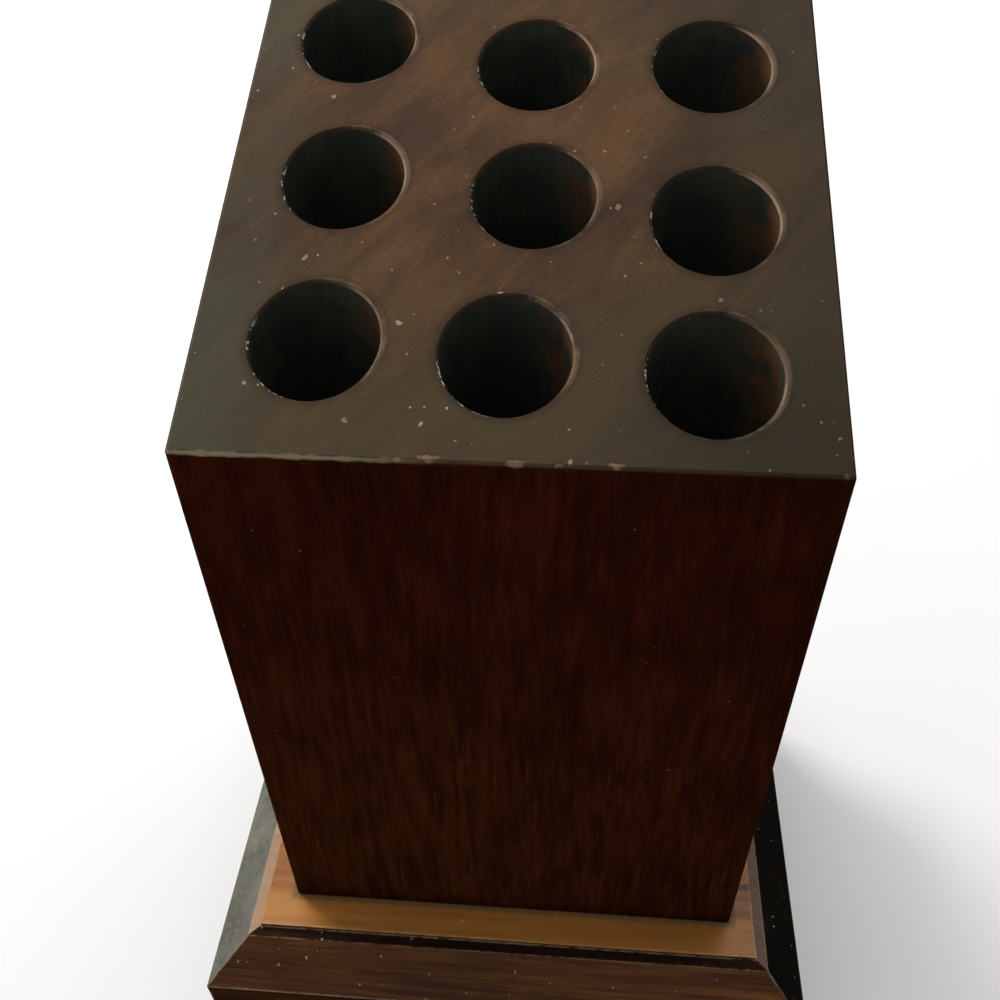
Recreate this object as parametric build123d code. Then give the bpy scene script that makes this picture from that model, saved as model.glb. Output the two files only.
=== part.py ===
from build123d import *
import math
import os

# Pen stand with drawer: a sloped hardwood block bored with nine pen holes, on a
# moulded top plate, over a shallow box that holds one drawer.
# Frame: millimetres, +Z up, origin at the centre of the underside on the table,
# -Y is the low side of the block and the side the drawer opens to.

# ---------------------------------------------------------------- driving sizes
block_w = 62.0            # pen block, left to right
block_d = 62.0            # pen block, front to rear
block_h_front = 83.9      # pen block height at its low front edge
slope_deg = 21.03         # the top face rises toward the rear
block_x = 0.50            # the block sits a little right of the plate's centre
block_y0 = -31.0          # front face of the block
hole_d = 12.7             # pen holes, drilled straight down
hole_depth = 55.0         # on the hole axis, from the sloped face
hole_rim = 0.25           # worn rim of each hole
# hole centres as drilled by hand: x from the block's centre line, y from its front face
holes = {
    "hole_rear_left": (-19.77, 50.13),
    "hole_rear_centre": (0.46, 46.69),
    "hole_rear_right": (19.55, 46.77),
    "hole_middle_left": (-18.79, 31.05),
    "hole_middle_centre": (1.17, 29.28),
    "hole_middle_right": (19.44, 26.76),
    "hole_front_left": (-18.91, 12.06),
    "hole_front_centre": (-0.51, 11.09),
    "hole_front_right": (18.99, 9.76),
}

plate_hx = 41.8           # half width of the moulded top plate
plate_hy = 42.7           # half depth
plate_t = 12.7            # overall thickness, with an upright edge below the bevel
bevel_w = 5.44            # sloping part of the moulding
bevel_h = 5.00
shoulder_w = 1.54         # narrow flat inside the bevel
shoulder_h = 0.70         # step up from it to the raised field

felt_t = 1.0
base_t = 6.0
box_h = 22.3              # height of the drawer box between base and top plate
board_t = 6.0
box_inset = 3.0           # the box stands this far inside the plate's outline

z_base0 = felt_t
z_box0 = z_base0 + base_t
z_plate0 = z_box0 + box_h
z_plate1 = z_plate0 + plate_t
box_hx = plate_hx - box_inset
box_hy = plate_hy - box_inset
in_hx = box_hx - board_t          # inner half width of the box
in_y1 = box_hy - board_t          # inner face of the back board

gap = 0.3                 # clearance round the drawer
front_t = 6.0             # drawer front
dside_t = 4.0             # drawer sides and back
lap = 3.0                 # depth of the rebates that take the drawer sides
runner_t = 1.5
runner_gap = 0.2
travel = 50.0             # drawer travel up to its stop

dr_hx = in_hx - gap                       # outer half width of the drawer
dr_y0 = -box_hy                           # drawer front is flush with the box
dr_yf = dr_y0 + front_t                   # back face of the drawer front
dr_y1 = in_y1 - 0.8                       # rear end of the drawer
dr_z0 = z_box0 + runner_t + runner_gap    # underside of the drawer sides
dr_z1 = z_plate0 - 0.5                    # top of the drawer sides
bot_z0 = dr_z0 + 1.8                      # drawer bottom panel
bot_t = 2.0
bot_z1 = bot_z0 + bot_t
lining_t = 0.8
knob_z = z_box0 + box_h / 2.0


def box(x0, x1, y0, y1, z0, z1):
    return Pos((x0 + x1) / 2, (y0 + y1) / 2, (z0 + z1) / 2) * Box(x1 - x0, y1 - y0, z1 - z0)


def rod_z(x, y, z0, z1, r):
    return Pos(x, y, (z0 + z1) / 2) * Cylinder(r, z1 - z0)


def rod_x(x0, x1, y, z, r):
    return Pos((x0 + x1) / 2, y, z) * Rot(0, 90, 0) * Cylinder(r, x1 - x0)


def rod_y(x, y0, y1, z, r):
    return Pos(x, (y0 + y1) / 2, z) * Rot(90, 0, 0) * Cylinder(r, y1 - y0)


def single(shape):
    # the one solid of a result, cleaned
    return shape.solids()[0]


# ------------------------------------------------------------------- fastenings
# countersunk wood screws driven upward; drawn as head cone plus plain shank
def screw_up(x, y, z, r_head, r_shank, length):
    h = r_head - r_shank
    head = Pos(x, y, z + h / 2) * Cone(r_head, r_shank, h)
    shank = rod_z(x, y, z + h, z + length - 1.5, r_shank)
    tip = Pos(x, y, z + length - 0.75) * Cone(r_shank, 0.3, 1.5)
    drive = Pos(x, y, z + 0.5) * (Box(r_head * 1.1, 0.7, 1.0) + Box(0.7, r_head * 1.1, 1.0))
    return single(head + shank + tip - drive)


def screw_hole(x, y, z, r_head, r_shank, length):
    h = r_head - r_shank
    head = Pos(x, y, z + h / 2) * Cone(r_head, r_shank, h)
    shank = rod_z(x, y, z + h, z + length - 1.5, r_shank)
    tip = Pos(x, y, z + length - 0.75) * Cone(r_shank, 0.3, 1.5)
    return head + shank + tip


block_screw_at = [(block_x, -16.0), (block_x, 16.0)]
block_screw = (4.0, 2.0, 30.0)
base_screw_at = [(sx * (box_hx - board_t / 2), sy * 27.0) for sx in (-1, 1) for sy in (-1, 1)]
base_screw = (2.8, 1.4, 17.0)
dowel_at = [(sx * (box_hx - board_t / 2), sy) for sx in (-1, 1) for sy in (-27.0, 27.0)]
dowel_r = 2.0
dowel_z0 = z_plate0 - 7.0
dowel_z1 = z_plate0 + 5.0
pin_r = 0.6
box_pin_at = [(sx, z) for sx in (-1, 1) for z in (z_box0 + 7.0, z_box0 + 19.0)]
box_pin_y = in_y1 + board_t / 2
drawer_pin_z = [dr_z0 + 6.0, dr_z0 + 18.0]
drawer_pin_y = [dr_yf - lap / 2, dr_y1 - dside_t / 2]

nodes = {}

# -------------------------------------------------------------------- pen block
tan_s = math.tan(math.radians(slope_deg))
h_rear = block_h_front + block_d * tan_s
profile = Plane.YZ * make_face(
    Polyline(
        (block_y0, z_plate1),
        (block_y0 + block_d, z_plate1),
        (block_y0 + block_d, z_plate1 + h_rear),
        (block_y0, z_plate1 + block_h_front),
        close=True,
    )
)
pen_block = Pos(block_x - block_w / 2, 0, 0) * extrude(profile, block_w, dir=(1, 0, 0))
# softened edges, all but the foot that sits on the plate
pen_block = chamfer(pen_block.edges().filter_by(lambda e: e.center().Z > z_plate1 + 1.0), 0.35)
cos_s = math.cos(math.radians(slope_deg))
sin_s = math.sin(math.radians(slope_deg))
cuts = []
for name, (hx, hy) in holes.items():
    x = block_x + hx
    y = block_y0 + hy
    z_face = z_plate1 + block_h_front + hy * tan_s
    cuts.append(rod_z(x, y, z_face - hole_depth, z_face + 20.0, hole_d / 2))
    # worn rim: an oval countersink square to the sloped face, following the bore
    face_plane = Plane(origin=(x, y, z_face), x_dir=(1, 0, 0), z_dir=(0, -sin_s, cos_s))
    ovals = []
    for d in (-0.2, 0.7):
        grow = hole_rim - d
        oval = Ellipse(hole_d / 2 + grow, hole_d / 2 / cos_s + grow)
        ovals.append((face_plane.offset(-d) * Pos(0, -d * tan_s, 0) * oval).face())
    cuts.append(loft(ovals))
pen_block = pen_block - cuts
for x, y in block_screw_at:
    pen_block = pen_block - screw_hole(x, y, z_plate0, *block_screw)
nodes["pen_block"] = single(pen_block)

# -------------------------------------------------------------------- top plate
edge_h = plate_t - bevel_h - shoulder_h
field_hx = plate_hx - bevel_w - shoulder_w
field_hy = plate_hy - bevel_w - shoulder_w
low = box(-plate_hx, plate_hx, -plate_hy, plate_hy, z_plate0, z_plate0 + edge_h)
r0 = Plane.XY.offset(z_plate0 + edge_h) * Rectangle(2 * plate_hx, 2 * plate_hy)
r1 = Plane.XY.offset(z_plate0 + edge_h + bevel_h) * Rectangle(
    2 * (plate_hx - bevel_w), 2 * (plate_hy - bevel_w)
)
bevel = loft([r0.face(), r1.face()])
raised = box(-field_hx, field_hx, -field_hy, field_hy, z_plate1 - shoulder_h, z_plate1)
top_plate = low + bevel + raised
for x, y in block_screw_at:
    top_plate = top_plate - screw_hole(x, y, z_plate0, *block_screw)
for x, y in dowel_at:
    top_plate = top_plate - rod_z(x, y, z_plate0 - 1.0, dowel_z1, dowel_r)
nodes["top_plate"] = single(top_plate)

# ---------------------------------------------------------------- box boards
def carcass_side(sign):
    xa, xb = sorted((sign * in_hx, sign * box_hx))
    s = box(xa, xb, -box_hy, box_hy, z_box0, z_plate0)
    for x, y in base_screw_at:
        if x * sign > 0:
            s = s - screw_hole(x, y, z_base0, *base_screw)
    for x, y in dowel_at:
        if x * sign > 0:
            s = s - rod_z(x, y, dowel_z0, z_plate0 + 1.0, dowel_r)
    for sx, z in box_pin_at:
        if sx * sign > 0:
            a, b = sorted((sx * (box_hx - 14.0), sx * (box_hx + 1.0)))
            s = s - rod_x(a, b, box_pin_y, z, pin_r)
    return single(s)


nodes["carcass_side_left"] = carcass_side(-1)
nodes["carcass_side_right"] = carcass_side(1)

back = box(-in_hx, in_hx, in_y1, box_hy, z_box0, z_plate0)
for sx, z in box_pin_at:
    a, b = sorted((sx * (box_hx - 14.0), sx * (box_hx + 1.0)))
    back = back - rod_x(a, b, box_pin_y, z, pin_r)
nodes["carcass_back"] = single(back)

# ------------------------------------------------------------------- base board
base_chamfer = 2.4
base = box(-plate_hx, plate_hx, -plate_hy, plate_hy, z_base0, z_box0)
base = chamfer(
    [e for e in base.edges() if abs(e.center().Z - z_box0) < 1e-6], base_chamfer
)
for x, y in base_screw_at:
    base = base - screw_hole(x, y, z_base0, *base_screw)
nodes["base_board"] = single(base)

felt_inset = 1.6
nodes["base_felt"] = single(
    box(-plate_hx + felt_inset, plate_hx - felt_inset, -plate_hy + felt_inset, plate_hy - felt_inset, 0, felt_t)
)

# runners the drawer sides slide on, one each side of the box floor
runner_w = 6.0
runner_y0 = dr_yf + 0.6
for label, sign in (("left", -1), ("right", 1)):
    a, b = sorted((sign * in_hx, sign * (in_hx - runner_w)))
    nodes["drawer_runner_" + label] = single(box(a, b, runner_y0, in_y1, z_box0, z_box0 + runner_t))

# stop block under the top plate: the drawer back meets it at full travel
back_inner_y = dr_y1 - dside_t
stop_y1 = back_inner_y - travel - gap
stop_d = 8.0
stop_h = 3.2
stop = box(-7.0, 7.0, stop_y1 - stop_d, stop_y1, z_plate0 - stop_h, z_plate0)
for x, y in block_screw_at:
    stop = stop - screw_hole(x, y, z_plate0, *block_screw)
nodes["drawer_stop"] = single(stop)

# -------------------------------------------------------------- fixed hardware
nodes["block_screws"] = Compound(children=[screw_up(x, y, z_plate0, *block_screw) for x, y in block_screw_at])
nodes["base_screws"] = Compound(children=[screw_up(x, y, z_base0, *base_screw) for x, y in base_screw_at])
nodes["carcass_dowels"] = Compound(
    children=[single(rod_z(x, y, dowel_z0 + 0.3, dowel_z1 - 0.3, dowel_r)) for x, y in dowel_at]
)
box_pins = []
for sx, z in box_pin_at:
    a, b = sorted((sx * (box_hx - 13.5), sx * box_hx))
    box_pins.append(single(rod_x(a, b, box_pin_y, z, pin_r)))
nodes["carcass_pins"] = Compound(children=box_pins)

# ----------------------------------------------------------------------- drawer
knob_screw_r = 1.5
front = box(-dr_hx, dr_hx, dr_y0, dr_yf, z_box0 + gap, z_plate0 - gap)
# rebates at both ends of the back face take the drawer sides
for sign in (-1, 1):
    a, b = sorted((sign * (dr_hx - dside_t), sign * (dr_hx + 1)))
    front = front - box(a, b, dr_yf - lap, dr_yf + 1, z_box0, z_plate0)
# housing for the bottom panel
front = front - box(-(dr_hx - dside_t), dr_hx - dside_t, dr_yf - 2.0, dr_yf + 1, bot_z0, bot_z1)
# small chamfer round the visible face
front = chamfer(
    [e for e in front.edges() if abs(e.center().Y - dr_y0) < 1e-6], 0.8
)
front = front - rod_y(0, dr_y0 - 1, dr_yf + 1, knob_z, knob_screw_r)
for sx in (-1, 1):
    for z in drawer_pin_z:
        a, b = sorted((sx * (dr_hx - 10.0), sx * (dr_hx + 1)))
        front = front - rod_x(a, b, drawer_pin_y[0], z, pin_r)
nodes["drawer_front"] = single(front)

groove = 2.0


def drawer_side(sign):
    a, b = sorted((sign * (dr_hx - dside_t), sign * dr_hx))
    s = box(a, b, dr_yf - lap, dr_y1, dr_z0, dr_z1)
    ga, gb = sorted((sign * (dr_hx - dside_t - 1), sign * (dr_hx - dside_t + groove)))
    s = s - box(ga, gb, dr_yf - lap - 1, dr_y1 + 1, bot_z0, bot_z1)
    for y in drawer_pin_y:
        for z in drawer_pin_z:
            pa, pb = sorted((sign * (dr_hx - 10.0), sign * (dr_hx + 1)))
            s = s - rod_x(pa, pb, y, z, pin_r)
    return single(s)


nodes["drawer_side_left"] = drawer_side(-1)
nodes["drawer_side_right"] = drawer_side(1)

dback = box(-(dr_hx - dside_t), dr_hx - dside_t, dr_y1 - dside_t, dr_y1, bot_z1, dr_z1)
for sx in (-1, 1):
    for z in drawer_pin_z:
        pa, pb = sorted((sx * (dr_hx - 10.0), sx * (dr_hx + 1)))
        dback = dback - rod_x(pa, pb, drawer_pin_y[1], z, pin_r)
nodes["drawer_back"] = single(dback)

# bottom panel: in the grooves of the sides, housed in the front, under the back
panel_hx = dr_hx - dside_t + groove
panel = box(-panel_hx, panel_hx, dr_yf, dr_y1, bot_z0, bot_z1)
panel = panel + box(
    -(dr_hx - dside_t), dr_hx - dside_t, dr_yf - 2.0, dr_yf, bot_z0, bot_z1
)
nodes["drawer_bottom"] = single(panel)

nodes["drawer_lining"] = single(
    box(
        -(dr_hx - dside_t) + 0.2,
        dr_hx - dside_t - 0.2,
        dr_yf + 0.2,
        dr_y1 - dside_t - 0.2,
        bot_z1,
        bot_z1 + lining_t,
    )
)

# turned knob: foot ring, cone, neck and ball, on the drawer's centre line
knob_ball_r = 4.5
knob_reach = 6.6          # ball centre in front of the drawer front


def turned(y_from, y_to, r_from, r_to):
    # a turned section lying along Y, from the drawer front outward
    h = y_to - y_from
    c = dr_y0 - (y_from + y_to) / 2
    if abs(r_from - r_to) < 1e-9:
        return Pos(0, c, knob_z) * Rot(90, 0, 0) * Cylinder(r_from, h)
    return Pos(0, c, knob_z) * Rot(90, 0, 0) * Cone(r_from, r_to, h)


knob = (
    turned(0.0, 0.9, 3.9, 3.9)
    + turned(0.9, 1.4, 3.2, 3.2)
    + turned(1.4, 2.8, 3.0, 1.9)
    + turned(2.8, 5.0, 1.9, 1.9)
    + Pos(0, dr_y0 - knob_reach, knob_z) * Sphere(knob_ball_r)
)
knob_screw_len = 6.5
knob = knob - rod_y(0, dr_y0 - knob_screw_len, dr_y0 + 1, knob_z, knob_screw_r)
nodes["drawer_knob"] = single(knob)

# screw from inside the drawer, through the front into the knob
shank = rod_y(0, dr_y0 - knob_screw_len + 0.3, dr_yf, knob_z, knob_screw_r)
head = rod_y(0, dr_yf, dr_yf + 1.6, knob_z, 2.9)
slot = box(-3.2, 3.2, dr_yf + 0.8, dr_yf + 2.0, knob_z - 0.4, knob_z + 0.4)
kscrew = head
kscrew = chamfer([e for e in kscrew.edges() if abs(e.center().Y - (dr_yf + 1.6)) < 1e-6], 0.6)
nodes["knob_screw"] = single(kscrew + shank - slot)

drawer_pins = []
for sx in (-1, 1):
    for y in drawer_pin_y:
        for z in drawer_pin_z:
            pa, pb = sorted((sx * (dr_hx - 9.5), sx * (dr_hx - 0.1)))
            drawer_pins.append(single(rod_x(pa, pb, y, z, pin_r)))
nodes["drawer_pins"] = Compound(children=drawer_pins)

# ----------------------------------------------------------------------- export
os.makedirs("parts", exist_ok=True)
for name, shape in nodes.items():
    shape.label = name
    export_step(shape, "parts/" + name + ".step")
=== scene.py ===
import math

import bpy
from mathutils import Matrix, Vector

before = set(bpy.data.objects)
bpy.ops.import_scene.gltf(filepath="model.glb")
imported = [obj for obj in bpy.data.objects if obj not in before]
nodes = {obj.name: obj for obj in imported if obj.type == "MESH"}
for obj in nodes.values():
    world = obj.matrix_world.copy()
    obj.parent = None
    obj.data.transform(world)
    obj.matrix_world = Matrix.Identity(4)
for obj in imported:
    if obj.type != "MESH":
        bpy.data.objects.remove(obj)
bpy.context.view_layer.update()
scene = bpy.context.scene

# ------------------------------------------------------------------ the object
# places used by the finishes, in metres: the same numbers as the solids
BLOCK_X = 0.0005
BLOCK_HALF = 0.031
BLOCK_Y0 = -0.031
PLATE_TOP = 0.042
BLOCK_FRONT_TOP = PLATE_TOP + 0.0839
SLOPE = math.radians(21.03)
FIELD_HX, FIELD_HY = 0.03482, 0.03572
PLATE_HX, PLATE_HY = 0.0418, 0.0427
HOLE_R = 0.00635
HOLE_AT = (
    (-0.01927, 0.01913), (0.00096, 0.01569), (0.02005, 0.01577),
    (-0.01829, 0.00005), (0.00167, -0.00172), (0.01994, -0.00424),
    (-0.01841, -0.01894), (-0.00001, -0.01991), (0.01949, -0.02124),
)


def lin(r, g, b):
    # 0-255 display colour to linear
    out = []
    for c in (r, g, b):
        c = c / 255.0
        out.append(c / 12.92 if c <= 0.04045 else ((c + 0.055) / 1.055) ** 2.4)
    return (out[0], out[1], out[2], 1.0)


# block tones, dark to light
BLK = ((33, 11, 6), (41, 14, 7), (48, 18, 9), (60, 26, 13))
BLK_LOW = ((42, 18, 7), (62, 32, 12))
BLK_RED = (58, 18, 11)
BLK_FLECK = (82, 44, 24)
END = ((60, 44, 33), (78, 56, 40), (92, 66, 43), (108, 76, 48))
# grey of the top: partly the end grain's dull tone, partly a painted sheen
END_GREY_SHEEN = (68, 62, 47)
# bore colours: painted shade for the holes' depth and a painted light for the right-hand wall
BORE_SHADE_AND_LIT = ((40, 48, 44), (66, 68, 58), (104, 64, 34))


class Mat:
    """A node material, built up by small calls."""

    def __init__(self, name):
        self.m = bpy.data.materials.new(name)
        self.m.use_nodes = True
        self.nt = self.m.node_tree
        self.nt.nodes.clear()
        self.out = self.new("ShaderNodeOutputMaterial")
        self.bsdf = self.new("ShaderNodeBsdfPrincipled")
        self.nt.links.new(self.bsdf.outputs[0], self.out.inputs[0])
        tc = self.new("ShaderNodeTexCoord")
        self.obj = tc.outputs["Object"]
        geo = self.new("ShaderNodeNewGeometry")
        self.true_normal = geo.outputs["True Normal"]
        self._xyz = None

    def new(self, kind):
        return self.nt.nodes.new(kind)

    def put(self, socket, value):
        if hasattr(value, "is_output"):
            self.nt.links.new(value, socket)
        else:
            socket.default_value = value

    def math(self, op, a, b=0.0, c=0.0, clamp=False):
        n = self.new("ShaderNodeMath")
        n.operation = op
        n.use_clamp = clamp
        self.put(n.inputs[0], a)
        self.put(n.inputs[1], b)
        self.put(n.inputs[2], c)
        return n.outputs[0]

    def add(self, a, b):
        return self.math("ADD", a, b)

    def sub(self, a, b):
        return self.math("SUBTRACT", a, b)

    def mul(self, a, b, clamp=False):
        return self.math("MULTIPLY", a, b, clamp=clamp)

    def vmath(self, op, a, b=(0, 0, 0), out=0):
        n = self.new("ShaderNodeVectorMath")
        n.operation = op
        self.put(n.inputs[0], a)
        self.put(n.inputs[1], b)
        return n.outputs["Value" if out else "Vector"]

    def xyz(self):
        if self._xyz is None:
            n = self.new("ShaderNodeSeparateXYZ")
            self.put(n.inputs[0], self.obj)
            self._xyz = (n.outputs[0], n.outputs[1], n.outputs[2])
        return self._xyz

    def mapping(self, vec, scale=(1, 1, 1), rot=(0, 0, 0), loc=(0, 0, 0)):
        n = self.new("ShaderNodeMapping")
        self.put(n.inputs["Vector"], vec)
        n.inputs["Scale"].default_value = scale
        n.inputs["Rotation"].default_value = rot
        n.inputs["Location"].default_value = loc
        return n.outputs[0]

    def noise(self, vec, scale, detail=4.0, rough=0.5, dist=0.0, colour=False):
        n = self.new("ShaderNodeTexNoise")
        self.put(n.inputs["Vector"], vec)
        n.inputs["Scale"].default_value = scale
        n.inputs["Detail"].default_value = detail
        n.inputs["Roughness"].default_value = rough
        n.inputs["Distortion"].default_value = dist
        return n.outputs[1 if colour else 0]

    def voronoi(self, vec, scale, feature="F1", rand=1.0, out="Distance"):
        n = self.new("ShaderNodeTexVoronoi")
        n.feature = feature
        self.put(n.inputs["Vector"], vec)
        n.inputs["Scale"].default_value = scale
        n.inputs["Randomness"].default_value = rand
        return n.outputs[out]

    def ramp(self, fac, stops, interp="LINEAR"):
        n = self.new("ShaderNodeValToRGB")
        n.color_ramp.interpolation = interp
        el = n.color_ramp.elements
        while len(el) > 1:
            el.remove(el[-1])
        for i, (pos, col) in enumerate(stops):
            e = el[0] if i == 0 else el.new(pos)
            e.position = pos
            if isinstance(col, (int, float)):
                col = (col, col, col, 1.0)
            e.color = col
        self.put(n.inputs[0], fac)
        return n.outputs[0]

    def step(self, value, lo, hi):
        # 0 below lo, 1 above hi, smooth between
        n = self.new("ShaderNodeMapRange")
        n.interpolation_type = "SMOOTHSTEP"
        self.put(n.inputs["Value"], value)
        n.inputs["From Min"].default_value = lo
        n.inputs["From Max"].default_value = hi
        n.inputs["To Min"].default_value = 0.0
        n.inputs["To Max"].default_value = 1.0
        return n.outputs[0]

    def mix(self, fac, a, b, blend="MIX"):
        n = self.new("ShaderNodeMix")
        n.data_type = "RGBA"
        n.blend_type = blend
        n.clamp_factor = True
        self.put(n.inputs[0], fac)
        self.put(n.inputs[6], a)
        self.put(n.inputs[7], b)
        return n.outputs[2]

    def fmix(self, fac, a, b):
        n = self.new("ShaderNodeMix")
        n.data_type = "FLOAT"
        n.clamp_factor = True
        self.put(n.inputs[0], fac)
        self.put(n.inputs[2], a)
        self.put(n.inputs[3], b)
        return n.outputs[0]

    def bump(self, height, strength, distance, normal=None):
        n = self.new("ShaderNodeBump")
        n.inputs["Strength"].default_value = strength
        n.inputs["Distance"].default_value = distance
        self.put(n.inputs["Height"], height)
        if normal is not None:
            self.put(n.inputs["Normal"], normal)
        return n.outputs[0]

    def edge(self, radius, lo=0.02, hi=0.35):
        # 1 on an arris, 0 on the flats: how far the rounded normal leaves the true one
        n = self.new("ShaderNodeBevel")
        n.samples = 6
        n.inputs["Radius"].default_value = radius
        d = self.vmath("DOT_PRODUCT", n.outputs[0], self.true_normal, out=1)
        return self.step(self.sub(1.0, d), lo, hi)

    def around(self, at, radius, wobble=None):
        # 1 near a point, 0 away from it
        d = self.vmath("DISTANCE", self.obj, at, out=1)
        if wobble is not None:
            d = self.add(d, wobble)
        return self.sub(1.0, self.step(d, radius * 0.6, radius))

    def finish(self, colour, rough, normal=None, coat=0.0, coat_rough=0.2, specular=0.5, metallic=0.0, sheen=0.0):
        b = self.bsdf
        self.put(b.inputs["Base Color"], colour)
        self.put(b.inputs["Roughness"], rough)
        b.inputs["Metallic"].default_value = metallic
        self.put(b.inputs["Specular IOR Level"], specular)
        self.put(b.inputs["Coat Weight"], coat)
        b.inputs["Coat Roughness"].default_value = coat_rough
        b.inputs["Sheen Weight"].default_value = sheen
        if normal is not None:
            self.put(b.inputs["Normal"], normal)
        return self.m


AXIS_SCALE = {"X": (1, 0, 0), "Y": (0, 1, 0), "Z": (0, 0, 1)}


def along(axis, stretch, wide=1.0):
    # mapping scale that draws a texture out along one axis
    return tuple(wide / stretch if a else wide for a in AXIS_SCALE[axis])


def grain(s, axis, shift=(0, 0, 0), wander=0.0012, fig=70.0, fibre=900.0):
    """Long-grain figure: a slow figure, streaks, fibres and pores, each 0..1."""
    base = s.mapping(s.obj, loc=shift)
    drift = s.noise(s.mapping(base, scale=along(axis, 3.0)), 45.0, 2.0, colour=True)
    drift = s.vmath("SUBTRACT", drift, (0.5, 0.5, 0.5))
    n = s.new("ShaderNodeVectorMath")
    n.operation = "SCALE"
    s.put(n.inputs[0], drift)
    n.inputs["Scale"].default_value = wander
    p = s.vmath("ADD", base, n.outputs[0])
    figure = s.noise(s.mapping(p, scale=along(axis, 9.0)), fig, 3.0, 0.55)
    streak = s.noise(s.mapping(p, scale=along(axis, 26.0)), fig * 5.0, 5.0, 0.6)
    fibres = s.noise(s.mapping(p, scale=along(axis, 40.0)), fibre * 2.2, 4.0, 0.65)
    pores = s.voronoi(s.mapping(p, scale=along(axis, 14.0)), fibre * 1.3)
    pores = s.sub(1.0, s.step(pores, 0.10, 0.34))
    patchy = s.step(s.noise(s.mapping(p, scale=along(axis, 4.0)), 160.0, 2.0), 0.42, 0.62)
    pores = s.mul(pores, patchy)
    return p, figure, streak, fibres, pores


def specks(s, scale, size, amount, seed=(0, 0, 0)):
    # scattered dust specks, 0..1
    p = s.mapping(s.obj, loc=seed)
    wob = s.noise(p, scale * 2.3, 2.0, colour=True)
    wob = s.vmath("SUBTRACT", wob, (0.5, 0.5, 0.5))
    n = s.new("ShaderNodeVectorMath")
    n.operation = "SCALE"
    s.put(n.inputs[0], wob)
    n.inputs["Scale"].default_value = 0.5 / scale
    p = s.vmath("ADD", p, n.outputs[0])
    d = s.voronoi(p, scale)
    dot = s.sub(1.0, s.step(d, size * 0.55, size))
    keep = s.step(s.noise(s.mapping(s.obj, loc=seed), scale * 0.45, 2.0), 1.0 - amount, 1.0 - amount + 0.06)
    return s.mul(dot, keep)


def specks_flat(s, scale, size, amount, seed=(0, 0, 0)):
    # dust lying on an up-facing surface: dots laid out in X and Y only
    p = s.mapping(s.obj, loc=seed)
    wob = s.noise(p, scale * 2.6, 2.0, colour=True)
    wob = s.vmath("SUBTRACT", wob, (0.5, 0.5, 0.5))
    n = s.new("ShaderNodeVectorMath")
    n.operation = "SCALE"
    s.put(n.inputs[0], wob)
    n.inputs["Scale"].default_value = 0.30 / scale
    p = s.vmath("ADD", p, n.outputs[0])
    v = s.new("ShaderNodeTexVoronoi")
    v.voronoi_dimensions = "2D"
    s.put(v.inputs["Vector"], p)
    v.inputs["Scale"].default_value = scale
    # each dot takes its own size from its cell's random colour
    sep = s.new("ShaderNodeSeparateColor")
    s.put(sep.inputs[0], v.outputs["Color"])
    r = s.mul(sep.outputs[0], size)
    dot = s.sub(1.0, s.step(s.sub(v.outputs["Distance"], r), -0.02, 0.015))
    keep = s.math("LESS_THAN", sep.outputs[1], amount)
    return s.mul(s.mul(dot, keep), s.add(s.mul(sep.outputs[2], 0.6), 0.4))


def facing(s, direction, lo, hi):
    # 1 where the surface faces that way
    d = s.vmath("DOT_PRODUCT", s.true_normal, direction, out=1)
    return s.step(d, lo, hi)


def scratches(s, angle, scale, stretch, width, seed=(0, 0, 0)):
    # fine long scratches in the XY plane at an angle
    p = s.mapping(s.obj, rot=(0, 0, angle), loc=seed)
    p = s.mapping(p, scale=(1.0 / stretch, 1.0, 1.0))
    v = s.voronoi(p, scale, feature="DISTANCE_TO_EDGE")
    line = s.sub(1.0, s.step(v, 0.0, width))
    gate = s.step(s.noise(p, scale * 0.35, 2.0), 0.50, 0.68)
    return s.mul(line, gate)


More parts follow.
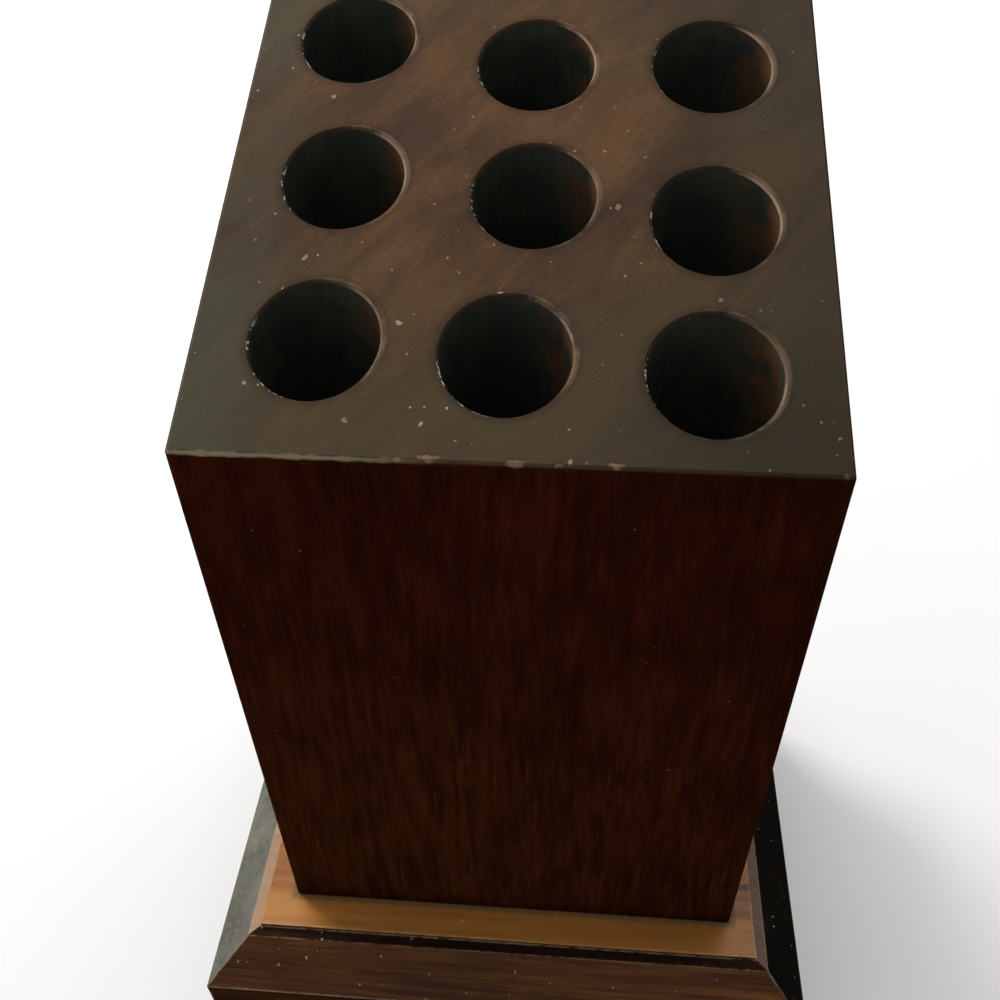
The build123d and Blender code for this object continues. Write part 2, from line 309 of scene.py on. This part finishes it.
def block_wood():
    s = Mat("dark_block_wood")
    x, y, z = s.xyz()
    p, figure, streak, fibres, pores = grain(s, "Z", shift=(0.013, 0.02, 0.0), wander=0.0016, fig=60.0, fibre=700.0)
    # how far below the sloped face a point lies
    ct, st = math.cos(SLOPE), math.sin(SLOPE)
    plane = s.add(s.mul(y, st), s.mul(z, -ct))
    plane = s.add(plane, BLOCK_FRONT_TOP * ct - BLOCK_Y0 * st)
    on_top = s.sub(1.0, s.step(plane, 0.00010, 0.00030))
    inx = s.sub(1.0, s.step(s.math("ABSOLUTE", s.sub(x, BLOCK_X)), BLOCK_HALF - 0.0012, BLOCK_HALF - 0.0008))
    iny = s.sub(1.0, s.step(s.math("ABSOLUTE", y), BLOCK_HALF - 0.0012, BLOCK_HALF - 0.0008))
    inside = s.mul(inx, iny)
    in_hole = s.mul(inside, s.step(plane, 0.00018, 0.00030))
    # long grain on the sides: soft dark mottling, short streaks, fine pale flecks
    mott = s.noise(s.mapping(p, scale=along("Z", 2.4)), 250.0, 4.0, 0.6, dist=0.3)
    mid = s.noise(s.mapping(p, scale=along("Z", 9.0)), 1050.0, 4.0, 0.62)
    slow = s.noise(s.mapping(p, scale=along("Z", 3.0)), 60.0, 2.0)
    tone = s.add(s.add(s.mul(mott, 0.30), s.mul(mid, 0.45)), s.mul(slow, 0.25))
    side = s.ramp(
        tone,
        [(0.36, lin(*BLK[0])), (0.46, lin(*BLK[1])), (0.54, lin(*BLK[2])), (0.66, lin(*BLK[3]))],
    )
    side = s.mix(s.mul(s.step(mott, 0.46, 0.68), s.mul(s.step(z, 0.06, 0.12), 0.40)), side, lin(*BLK_RED))
    lowc = s.mix(s.step(s.add(s.mul(mid, 0.6), s.mul(mott, 0.4)), 0.38, 0.62), lin(*BLK_LOW[0]), lin(*BLK_LOW[1]))
    lowk = s.mul(s.sub(1.0, s.step(z, 0.055, 0.115)), s.sub(1.0, s.mul(s.step(x, -0.010, 0.026), 0.60)))
    side = s.mix(s.mul(lowk, 0.75), side, lowc)
    thin = s.noise(s.mapping(p, scale=along("Z", 22.0), rot=(0, 0.02, 0)), 2300.0, 2.0, 0.5)
    thin = s.step(thin, 0.55, 0.72)
    gate = s.step(s.noise(s.mapping(p, scale=along("Z", 2.0)), 130.0, 2.0), 0.40, 0.60)
    lower = s.sub(1.25, s.step(z, 0.045, 0.125))
    thin = s.mul(s.mul(thin, gate), lower)
    side = s.mix(s.mul(thin, 0.38), side, lin(*BLK_FLECK))
    side = s.mix(s.mul(pores, 0.35), side, lin(16, 6, 4))
    # cut end: soft bands and pore dots with a sanded, dusty bloom
    bands = s.noise(s.mapping(s.mapping(s.obj, rot=(0, 0, math.radians(-52))), scale=(0.40, 1.5, 0.2)), 120.0, 4.0, 0.6, dist=0.5)
    fine = s.noise(s.mapping(p, scale=(1, 1, 0.4)), 1500.0, 3.0, 0.7)
    broad = s.noise(s.mapping(s.obj, loc=(0.05, 0.02, 0.0)), 42.0, 3.0, 0.5)
    end = s.ramp(
        s.add(s.mul(bands, 0.55), s.mul(broad, 0.45)),
        [(0.36, lin(*END[0])), (0.46, lin(*END[1])), (0.54, lin(*END[2])), (0.64, lin(*END[3]))],
    )
    end = s.mix(s.mul(s.step(fine, 0.35, 0.75), 0.35), end, lin(*END[0]))
    # greyer toward the front and the edges, warmer in the middle and left; the grey is partly the end grain's own dull
    # tone and partly a painted sheen
    from_mid = s.vmath("DISTANCE", s.vmath("MULTIPLY", s.obj, (1, 1, 0)), (-0.006, 0.008, 0.0), out=1)
    grey_sheen_mask = s.step(s.add(from_mid, s.mul(s.sub(broad, 0.5), 0.05)), 0.014, 0.044)
    end = s.mix(s.mul(grey_sheen_mask, 0.75), end, lin(*END_GREY_SHEEN))
    end_pores = s.sub(1.0, s.step(s.voronoi(s.mapping(p, scale=(1, 1, 0.25)), 1250.0), 0.05, 0.22))
    end = s.mix(s.mul(end_pores, 0.14), end, lin(34, 25, 19))
    scr1 = scratches(s, math.radians(-42), 520.0, 24.0, 0.010, seed=(0.1, 0, 0))
    scr2 = scratches(s, math.radians(-58), 380.0, 30.0, 0.008, seed=(0, 0.3, 0))
    scr = s.math("MAXIMUM", scr1, scr2)
    rub = s.noise(s.mapping(s.mapping(s.obj, rot=(0, 0, math.radians(-50))), scale=(0.04, 1.0, 0.2)), 2600.0, 3.0, 0.6)
    rub = s.step(rub, 0.52, 0.72)
    end = s.mix(s.mul(rub, 0.055), end, lin(150, 122, 92))
    end = s.mix(s.mul(scr, 0.03), end, lin(160, 134, 104))
    # darker toward the right and the front right corner
    dim = s.add(s.mul(s.step(x, 0.006, 0.030), 0.6), s.mul(s.mul(s.step(x, -0.002, 0.026), s.sub(1.0, s.step(y, -0.030, -0.010))), 0.7))
    end = s.mix(s.mul(dim, 0.66), end, lin(50, 43, 31))
    green = s.mul(s.sub(1.0, s.step(x, -0.029, -0.020)), s.step(broad, 0.36, 0.58))
    end = s.mix(s.mul(green, 0.55), end, lin(76, 78, 62))
    # a soft dark stain round each hole
    near = None
    flat = s.vmath("MULTIPLY", s.obj, (1, 1, 0))
    for hx, hy in HOLE_AT:
        d = s.vmath("DISTANCE", flat, (hx, hy, 0.0), out=1)
        near = d if near is None else s.math("MINIMUM", near, d)
    near = s.add(near, s.mul(s.sub(s.noise(s.obj, 420.0, 3.0, 0.6), 0.5), 0.0011))
    halo = s.sub(1.0, s.step(near, HOLE_R + 0.0001, HOLE_R + 0.0013))
    end = s.mix(s.mul(halo, 0.42), end, lin(34, 27, 22))
    rim_light_dist = None
    for hx, hy in HOLE_AT:
        d = s.vmath("DISTANCE", flat, (hx + 0.00028, hy + 0.00004, 0.0), out=1)
        rim_light_dist = d if rim_light_dist is None else s.math("MINIMUM", rim_light_dist, d)
    # painted highlight: only the side that lies away from the shifted centre stays pale, the right-hand rim catching
    # the light
    rim_highlight = s.mul(s.step(s.sub(near, rim_light_dist), -0.00006, 0.00022), s.sub(1.0, s.step(rim_light_dist, HOLE_R + 0.00010, HOLE_R + 0.00050)))
    some_r = s.step(s.noise(s.obj, 190.0, 2.0, 0.5), 0.36, 0.60)
    end = s.mix(s.mul(s.mul(rim_highlight, some_r), 0.42), end, lin(140, 118, 96))
    col = s.mix(on_top, side, end)
    # bores: a painted shade for their depth over a dark stain near the mouths, streaked along the drill's path, less
    # dark near the mouth, with a painted light on the right-hand wall near the mouth
    mouth = s.sub(1.0, s.step(plane, 0.002, 0.016))
    vert = s.noise(s.mapping(s.obj, scale=(1, 1, 0.12)), 1100.0, 3.0, 0.6)
    blot = s.noise(s.obj, 260.0, 3.0, 0.6)
    bore_shade = s.mix(s.add(s.mul(s.step(vert, 0.30, 0.75), 0.35), s.mul(s.step(blot, 0.35, 0.65), 0.55)), lin(*BORE_SHADE_AND_LIT[0]), lin(*BORE_SHADE_AND_LIT[1]))
    lit_wall = s.mul(s.mul(facing(s, (-0.98, 0.18, 0.0), 0.10, 0.80), mouth), s.step(blot, 0.34, 0.56))
    bore_shade = s.mix(s.mul(lit_wall, 0.8), bore_shade, lin(*BORE_SHADE_AND_LIT[2]))
    bore_shade = s.mix(s.mul(mouth, 0.25), bore_shade, lin(*BORE_SHADE_AND_LIT[1]))
    col = s.mix(in_hole, col, bore_shade)
    # rims: darkened all round as a painted shade, with a painted highlight, a pale crescent where the far right edge
    # catches the light, and broken white specks elsewhere
    rim = s.mul(s.mul(inside, s.step(plane, 0.00002, 0.00008)), s.sub(1.0, s.step(plane, 0.00022, 0.00030)))
    cres = s.mul(rim, facing(s, (-0.57, -0.42, 0.71), 0.80, 0.97))
    ragged = s.noise(s.obj, 1500.0, 3.0, 0.6)
    broken = s.step(s.noise(s.obj, 210.0, 2.0, 0.5), 0.38, 0.60)
    col = s.mix(s.mul(rim, 0.45), col, lin(40, 31, 25))
    col = s.mix(s.mul(s.mul(cres, s.add(0.25, s.mul(broken, 0.55))), s.add(0.5, s.mul(ragged, 0.6))), col, lin(172, 144, 120))
    bits = s.mul(s.mul(rim, facing(s, (0.72, 0.30, 0.60), 0.60, 0.95)), s.step(ragged, 0.50, 0.62))
    col = s.mix(s.mul(bits, 0.9), col, lin(206, 204, 198))
    # worn arrises
    wear_noise = s.noise(s.obj, 520.0, 4.0, 0.6)
    wear = s.mul(s.mul(s.edge(0.0005), s.step(wear_noise, 0.40, 0.64)), s.sub(1.0, s.mul(inside, 1.0)))
    col = s.mix(s.mul(wear, 0.35), col, lin(150, 118, 88))
    # the left half of the front arris is rubbed pale
    arris = s.vmath("DISTANCE", s.vmath("MULTIPLY", s.obj, (0, 1, 1)), (0.0, BLOCK_Y0 + 0.00015, BLOCK_FRONT_TOP - 0.0001), out=1)
    arris = s.sub(1.0, s.step(s.add(arris, s.mul(s.sub(wear_noise, 0.5), 0.0006)), 0.00008, 0.00034))
    left_half = s.sub(1.0, s.step(x, -0.016, -0.004))
    col = s.mix(s.mul(s.mul(arris, left_half), 0.65), col, lin(158, 146, 116))
    # chips beside the front arris, bare wood showing
    wob = s.mul(s.sub(s.noise(s.obj, 1500.0, 3.0), 0.5), 0.0010)
    chips = None
    for cx, dy, r in ((-0.0068, 0.00050, 0.00068), (0.0011, 0.00042, 0.00066), (0.0101, 0.00040, 0.00052), (-0.0096, 0.0003, 0.00030), (0.0049, 0.0003, 0.00026)):
        at = (BLOCK_X + cx, BLOCK_Y0 + dy, BLOCK_FRONT_TOP)
        d = s.vmath("DISTANCE", s.vmath("MULTIPLY", s.obj, (0.60, 1.5, 1.0)), (at[0] * 0.60, at[1] * 1.5, at[2]), out=1)
        c = s.sub(1.0, s.step(s.add(d, wob), r * 0.35, r))
        chips = c if chips is None else s.math("MAXIMUM", chips, c)
    col = s.mix(s.mul(chips, 0.62), col, lin(154, 122, 96))
    # dust
    dust = s.math("MAXIMUM", specks_flat(s, 290.0, 0.080, 0.15), specks_flat(s, 620.0, 0.10, 0.12, seed=(0.7, 0.2, 0.1)))
    dust = s.mul(dust, s.mul(on_top, s.sub(1.0, rim)))
    dust = s.mul(dust, s.sub(1.0, s.mul(s.step(x, -0.004, 0.014), s.add(0.35, s.mul(s.sub(1.0, s.step(y, -0.02, 0.0)), 0.25)))))
    sdust = s.mul(specks(s, 330.0, 0.06, 0.47), s.sub(1.0, on_top))
    dust = s.math("MAXIMUM", dust, s.mul(sdust, 0.22))
    col = s.mix(s.mul(dust, 0.72), col, lin(188, 176, 158))
    rough = s.add(s.mul(fibres, 0.18), 0.34)
    rough = s.fmix(on_top, rough, s.add(s.mul(fine, 0.2), 0.40))
    rough = s.fmix(in_hole, rough, 0.7)
    rough = s.fmix(s.math("MAXIMUM", dust, chips), rough, 0.9)
    h = s.add(s.mul(fibres, 0.4), s.mul(mid, 0.5))
    h = s.sub(h, s.mul(pores, 0.6))
    h = s.fmix(on_top, h, s.sub(s.mul(fine, 0.5), s.add(s.mul(scr, 0.4), s.mul(end_pores, 0.4))))
    h = s.fmix(in_hole, h, s.mul(vert, 1.5))
    h = s.sub(h, s.mul(chips, 2.2))
    h = s.add(h, s.mul(dust, 1.2))
    nrm = s.bump(h, 0.5, 0.00012)
    return s.finish(col, rough, nrm, specular=s.mul(on_top, 0.04))


def plate_wood():
    s = Mat("orange_plate_wood")
    x, y, z = s.xyz()
    ax, ay = s.math("ABSOLUTE", x), s.math("ABSOLUTE", y)
    p, figure, streak, fibres, pores = grain(s, "X", shift=(0.31, 0.0, 0.02), wander=0.002, fig=95.0, fibre=800.0)
    top = s.ramp(
        s.add(s.mul(streak, 0.5), s.mul(figure, 0.5)),
        [(0.32, lin(112, 68, 28)), (0.44, lin(146, 94, 44)), (0.56, lin(168, 112, 56)), (0.70, lin(186, 130, 72))],
    )
    lines = s.noise(s.mapping(p, scale=along("X", 18.0)), 820.0, 4.0, 0.55)
    lines = s.step(lines, 0.52, 0.60)
    some = s.step(s.noise(s.mapping(p, scale=along("X", 3.0)), 120.0, 2.0), 0.40, 0.58)
    more = s.add(0.62, s.mul(s.step(x, -0.012, 0.004), 0.34))
    top = s.mix(s.mul(s.mul(lines, s.add(s.mul(some, 0.6), 0.30)), more), top, lin(58, 30, 11))
    low = s.ramp(
        s.add(s.add(s.mul(streak, 0.35), s.mul(figure, 0.30)), s.mul(fibres, 0.35)),
        [(0.34, lin(58, 31, 14)), (0.46, lin(88, 52, 24)), (0.56, lin(118, 74, 38)), (0.70, lin(150, 102, 56))],
    )
    mott = s.noise(s.mapping(p, scale=along("X", 3.0)), 330.0, 4.0, 0.62, dist=0.4)
    low = s.mix(s.mul(s.step(mott, 0.46, 0.64), 0.45), low, lin(60, 34, 16))
    low = s.mix(s.mul(lines, 0.38), low, lin(34, 17, 10))
    is_top = s.step(z, PLATE_TOP - 0.00035, PLATE_TOP - 0.00015)
    col = s.mix(is_top, low, top)
    col = s.mix(s.mul(pores, 0.45), col, lin(30, 14, 8))
    # the step round the field: darkened in front and behind as a painted shadow of the field's edge, with a painted
    # light at its left end and painted shade at its right end
    step_x = s.mul(s.step(ax, FIELD_HX - 0.0001, FIELD_HX + 0.0001), s.sub(1.0, s.step(ax, FIELD_HX + 0.00150, FIELD_HX + 0.00165)))
    step_y = s.mul(s.step(ay, FIELD_HY - 0.0001, FIELD_HY + 0.0001), s.sub(1.0, s.step(ay, FIELD_HY + 0.00145, FIELD_HY + 0.00165)))
    below = s.sub(1.0, is_top)
    in_band_x = s.mul(s.mul(step_x, below), s.sub(1.0, s.step(s.sub(ay, ax), 0.0006, 0.0010)))
    in_band_y = s.mul(s.mul(step_y, below), s.step(s.sub(ay, ax), 0.0006, 0.0010))
    step_band_noise = s.noise(s.obj, 700.0, 3.0, 0.6)
    col = s.mix(s.mul(in_band_y, s.add(0.72, s.mul(step_band_noise, 0.3))), col, lin(26, 20, 20))
    step_end_lit_shaded = s.mix(s.step(x, -0.01, 0.01), lin(198, 160, 130), lin(92, 64, 46))
    col = s.mix(s.mul(in_band_x, s.add(0.5, s.mul(step_band_noise, 0.35))), col, step_end_lit_shaded)
    # end grain on the left and right moulding: a grey-green painted sheen over the dark end grain, mottled
    side_zone = s.mul(s.mul(below, s.step(ax, FIELD_HX + 0.00150, FIELD_HX + 0.00165)), s.sub(1.0, s.step(s.sub(ay, ax), 0.0006, 0.0010)))
    endn = s.noise(s.mapping(p, scale=(0.5, 1, 1)), 1300.0, 4.0, 0.65)
    endc = s.mix(s.step(endn, 0.35, 0.7), lin(62, 62, 53), lin(88, 87, 75))
    cloud = s.noise(s.obj, 130.0, 4.0, 0.6)
    endc = s.mix(s.mul(s.step(cloud, 0.36, 0.66), 0.5), endc, lin(120, 120, 104))
    # painted shade: the right moulding is made near black, partly its own dark end grain
    endc = s.mix(s.mul(s.step(x, -0.01, 0.01), 0.98), endc, lin(9, 14, 14))
    col = s.mix(s.mul(side_zone, 0.97), col, endc)
    # the front strip of the field is paler; the field is paler and redder on the left, a painted light, and dark at the
    # right, a painted shade
    lit_left_field = s.mul(is_top, s.sub(1.0, s.step(x, -0.004, 0.020)))
    col = s.mix(s.mul(lit_left_field, 0.30), col, lin(178, 118, 54))
    strip = s.mul(is_top, s.sub(1.0, s.step(y, -0.0315, -0.0300)))
    col = s.mix(s.mul(strip, 0.45), col, lin(212, 154, 82))
    col = s.mix(s.mul(is_top, 0.80), col, (0.92, 0.80, 0.66, 1.0), "MULTIPLY")
    shaded_right_field = s.mul(is_top, s.step(x, 0.012, 0.030))
    col = s.mix(s.mul(shaded_right_field, 0.22), col, lin(88, 48, 18))
    # the upright edge below the bevel is darkened, a painted shade
    upright = s.sub(1.0, s.step(z, 0.03595, 0.03630))
    col = s.mix(s.mul(upright, 0.75), col, lin(30, 17, 11))
    # pale line round the block's foot
    near = s.math("MAXIMUM", s.sub(s.math("ABSOLUTE", s.sub(x, BLOCK_X)), BLOCK_HALF), s.sub(ay, BLOCK_HALF))
    near = s.add(near, s.mul(s.sub(s.noise(s.obj, 900.0, 3.0), 0.5), 0.0007))
    foot_line = s.mul(s.sub(1.0, s.step(near, 0.0003, 0.0012)), is_top)
    col = s.mix(s.mul(foot_line, 0.70), col, lin(98, 88, 62))
    tight = s.mul(s.sub(1.0, s.step(near, -0.0002, 0.0002)), is_top)
    col = s.mix(s.mul(tight, 0.6), col, lin(40, 26, 18))
    wear_noise = s.noise(s.obj, 620.0, 4.0, 0.65)
    wear = s.mul(s.edge(0.0005, 0.01, 0.14), s.step(wear_noise, 0.36, 0.56))
    col = s.mix(s.mul(wear, 0.65), col, lin(206, 172, 134))
    dust = s.math("MAXIMUM", specks_flat(s, 330.0, 0.080, 0.20, seed=(0.2, 0.1, 0)), specks_flat(s, 700.0, 0.10, 0.14, seed=(0.5, 0.5, 0.1)))
    up = facing(s, (0, 0, 1), 0.3, 0.6)
    dust = s.mul(dust, up)
    col = s.mix(s.mul(dust, 0.75), col, lin(196, 190, 172))
    rough = s.add(s.mul(fibres, 0.12), 0.22)
    rough = s.fmix(side_zone, rough, 0.38)
    rough = s.fmix(s.math("MAXIMUM", dust, foot_line), rough, 0.8)
    rough = s.fmix(wear, rough, 0.55)
    h = s.sub(s.add(s.mul(fibres, 0.4), s.mul(streak, 0.3)), s.mul(pores, 0.4))
    h = s.add(h, s.mul(dust, 1.0))
    h = s.sub(h, s.mul(wear, 0.8))
    nrm = s.bump(h, 0.4, 0.00010)
    dull = s.math("MAXIMUM", s.math("MAXIMUM", upright, in_band_y), s.mul(side_zone, s.step(x, -0.01, 0.01)))
    dull = s.sub(1.0, dull)
    return s.finish(col, rough, nrm, coat=s.mul(dull, 0.05), coat_rough=0.18, specular=s.mul(dull, 0.18))


def board_wood(name, axis, tones, shift, coat=0.2, wear_col=(150, 112, 78), rough0=0.30, wear_k=0.45):
    s = Mat(name)
    p, figure, streak, fibres, pores = grain(s, axis, shift=shift, wander=0.002, fig=80.0, fibre=800.0)
    col = s.ramp(
        s.add(s.mul(streak, 0.55), s.mul(figure, 0.45)),
        [(0.30, lin(*tones[0])), (0.45, lin(*tones[1])), (0.60, lin(*tones[2])), (0.78, lin(*tones[3]))],
    )
    lines = s.step(s.noise(s.mapping(p, scale=along(axis, 30.0)), 430.0, 3.0, 0.5), 0.55, 0.72)
    dark = tuple(c * 0.45 for c in tones[0])
    col = s.mix(s.mul(lines, 0.55), col, lin(*dark))
    col = s.mix(s.mul(fibres, 0.35), col, lin(*tones[0]), "MULTIPLY")
    col = s.mix(s.mul(pores, 0.5), col, lin(*dark))
    wear_noise = s.noise(s.obj, 460.0, 4.0, 0.6)
    wear = s.mul(s.edge(0.0006), s.step(wear_noise, 0.38, 0.62))
    col = s.mix(s.mul(wear, wear_k), col, lin(*wear_col))
    dust = specks(s, 320.0, 0.06, 0.46, seed=shift)
    col = s.mix(s.mul(dust, 0.45), col, lin(170, 164, 150))
    rough = s.add(s.mul(fibres, 0.15), rough0)
    rough = s.fmix(dust, rough, 0.85)
    h = s.sub(s.add(s.mul(fibres, 0.45), s.mul(streak, 0.3)), s.mul(pores, 0.5))
    nrm = s.bump(h, 0.4, 0.00010)
    return s.finish(col, rough, nrm, coat=coat, coat_rough=0.2, specular=0.45)


def felt(name, dark, light):
    s = Mat(name)
    a = s.noise(s.obj, 2600.0, 4.0, 0.75)
    b = s.noise(s.mapping(s.obj, rot=(0.2, 0.1, 0.9), scale=(1, 0.35, 1)), 3400.0, 3.0, 0.7)
    patch = s.noise(s.obj, 60.0, 3.0)
    f = s.add(s.mul(a, 0.5), s.add(s.mul(b, 0.3), s.mul(patch, 0.2)))
    col = s.ramp(f, [(0.35, lin(*dark)), (0.65, lin(*light))])
    lint = specks(s, 420.0, 0.06, 0.47)
    col = s.mix(s.mul(lint, 0.5), col, lin(176, 176, 160))
    nrm = s.bump(s.add(a, b), 0.8, 0.0003)
    return s.finish(col, s.add(s.mul(a, 0.1), 0.86), nrm, specular=0.15, sheen=0.35)


def brass():
    s = Mat("knob_brass")
    turned = s.noise(s.mapping(s.obj, scale=(0.15, 1.0, 0.15)), 2400.0, 3.0, 0.6)
    tarn = s.noise(s.obj, 420.0, 4.0, 0.6)
    spots = s.step(s.noise(s.obj, 1500.0, 3.0), 0.56, 0.70)
    col = s.ramp(tarn, [(0.35, lin(150, 112, 48)), (0.62, lin(206, 168, 88))])
    col = s.mix(s.mul(spots, 0.5), col, lin(96, 70, 34))
    rough = s.add(s.mul(turned, 0.12), s.add(s.mul(spots, 0.2), 0.18))
    nrm = s.bump(turned, 0.25, 0.00004)
    return s.finish(col, rough, nrm, metallic=1.0)


def steel():
    s = Mat("screw_steel")
    a = s.noise(s.obj, 3200.0, 3.0, 0.6)
    rust = s.step(s.noise(s.obj, 900.0, 4.0), 0.55, 0.72)
    col = s.ramp(a, [(0.35, lin(120, 120, 122)), (0.65, lin(168, 168, 170))])
    col = s.mix(s.mul(rust, 0.4), col, lin(110, 78, 52))
    nrm = s.bump(a, 0.3, 0.00004)
    return s.finish(col, s.add(s.mul(a, 0.15), 0.30), nrm, metallic=1.0)


DARK = ((34, 15, 9), (60, 28, 16), (88, 46, 28), (120, 70, 44))
WARM = ((70, 38, 20), (104, 60, 34), (134, 84, 50), (160, 108, 68))
PALE = ((150, 112, 72), (178, 140, 96), (200, 164, 118), (216, 184, 140))

mats = {
    "pen_block": block_wood(),
    "top_plate": plate_wood(),
    "base_board": board_wood("brown_moulding_wood", "X", DARK, (0.11, 0.4, 0.2), coat=0.3),
    "carcass_side_left": board_wood("box_side_wood", "Y", DARK, (0.5, 0.12, 0.3), coat=0.25),
    "carcass_back": board_wood("box_back_wood", "X", DARK, (0.7, 0.22, 0.1), coat=0.25),
    "drawer_front": board_wood("drawer_front_wood", "X", DARK, (0.9, 0.42, 0.5), coat=0.3),
    "drawer_side_left": board_wood("drawer_side_wood", "Y", WARM, (0.2, 0.62, 0.1), coat=0.0, rough0=0.5, wear_k=0.2),
    "drawer_back": board_wood("drawer_back_wood", "X", WARM, (0.3, 0.12, 0.6), coat=0.0, rough0=0.5, wear_k=0.2),
    "drawer_bottom": board_wood("drawer_bottom_wood", "Y", PALE, (0.4, 0.32, 0.4), coat=0.0, rough0=0.55, wear_k=0.1),
    "carcass_dowels": board_wood("dowel_wood", "Z", PALE, (0.6, 0.2, 0.4), coat=0.0, rough0=0.55, wear_k=0.1),
    "base_felt": felt("green_felt", (14, 34, 22), (36, 66, 44)),
    "drawer_lining": felt("green_lining", (16, 40, 26), (42, 76, 50)),
    "drawer_knob": brass(),
    "base_screws": steel(),
}
same = {
    "carcass_side_right": "carcass_side_left",
    "drawer_side_right": "drawer_side_left",
    "drawer_runner_left": "drawer_side_left",
    "drawer_runner_right": "drawer_side_left",
    "drawer_stop": "drawer_back",
    "carcass_pins": "drawer_knob",
    "block_screws": "base_screws",
    "knob_screw": "base_screws",
    "drawer_pins": "base_screws",
}
for name, obj in nodes.items():
    m = mats[same.get(name, name)]
    obj.data.materials.clear()
    obj.data.materials.append(m)

# ----------------------------------------------------------------------- stage
bpy.ops.mesh.primitive_circle_add(vertices=96, radius=3.0, fill_type="NGON", location=(0, 0, 0))
floor = bpy.context.object
floor.name = "floor"
s = Mat("pale_floor")
f = s.noise(s.obj, 4.0, 3.0)
col = s.ramp(f, [(0.3, (0.86, 0.86, 0.86, 1)), (0.7, (0.90, 0.90, 0.90, 1))])
far = s.step(s.vmath("LENGTH", s.obj, out=1), 0.35, 1.5)
floor.data.materials.append(s.finish(s.mix(far, col, (0.02, 0.02, 0.02, 1)), 0.9, specular=0.1))
s.bsdf.inputs["Emission Color"].default_value = (1.0, 1.0, 1.0, 1.0)
s.put(s.bsdf.inputs["Emission Strength"], s.mul(far, 0.90))

world = bpy.data.worlds.new("studio")
scene.world = world
world.use_nodes = True
wt = world.node_tree
bg = wt.nodes["Background"]
# soft sky: brighter to the left, dimmer to the right, white where it is seen directly
wc = wt.nodes.new("ShaderNodeTexCoord")
wsep = wt.nodes.new("ShaderNodeSeparateXYZ")
wt.links.new(wc.outputs["Generated"], wsep.inputs[0])
wr = wt.nodes.new("ShaderNodeMapRange")
wr.inputs["From Min"].default_value = -1.0
wr.inputs["From Max"].default_value = 0.9
wr.inputs["To Min"].default_value = 0.42
wr.inputs["To Max"].default_value = 0.14
wt.links.new(wsep.outputs[0], wr.inputs["Value"])
lp = wt.nodes.new("ShaderNodeLightPath")
wm = wt.nodes.new("ShaderNodeMix")
wm.data_type = "FLOAT"
wm.inputs[3].default_value = 0.92
wt.links.new(lp.outputs["Is Camera Ray"], wm.inputs[0])
wt.links.new(wr.outputs[0], wm.inputs[2])
wt.links.new(wm.outputs[0], bg.inputs[1])
bg.inputs[0].default_value = (1.0, 1.0, 1.0, 1.0)


def area(name, at, look, size, power, colour=(1, 1, 1)):
    data = bpy.data.lights.new(name, "AREA")
    data.shape = "RECTANGLE"
    data.size, data.size_y = size
    data.energy = power
    data.color = colour
    ob = bpy.data.objects.new(name, data)
    scene.collection.objects.link(ob)
    ob.location = at
    ob.rotation_euler = (Vector(look) - Vector(at)).to_track_quat("-Z", "Y").to_euler()
    return ob


area("key_back_left", (-0.95, 0.80, 0.80), (0, 0, 0.08), (0.45, 0.45), 13.0, (1.0, 0.98, 0.95))
area("soft_above", (-0.1, 0.75, 1.7), (0, 0.25, 0.0), (2.4, 2.0), 30.0)


# ---------------------------------------------------------------------- camera
cam_data = bpy.data.cameras.new("camera")
cam = bpy.data.objects.new("camera", cam_data)
scene.collection.objects.link(cam)
cam_data.sensor_fit = "HORIZONTAL"
cam_data.sensor_width = 36.0
cam_data.lens = 1048.93 * 36.0 / 1000.0
cam_data.clip_start = 0.005
right = Vector((0.99690, 0.07721, -0.01500))
down = Vector((0.04150, -0.67831, -0.73361))
ahead = Vector((-0.06682, 0.73071, -0.67941))
m = Matrix.Identity(4)
for i in range(3):
    m[i][0] = right[i]
    m[i][1] = -down[i]
    m[i][2] = -ahead[i]
m[0][3], m[1][3], m[2][3] = 0.0066208, -0.1012974, 0.1870350
cam.matrix_world = m
scene.camera = cam
scene.view_settings.view_transform = "Standard"
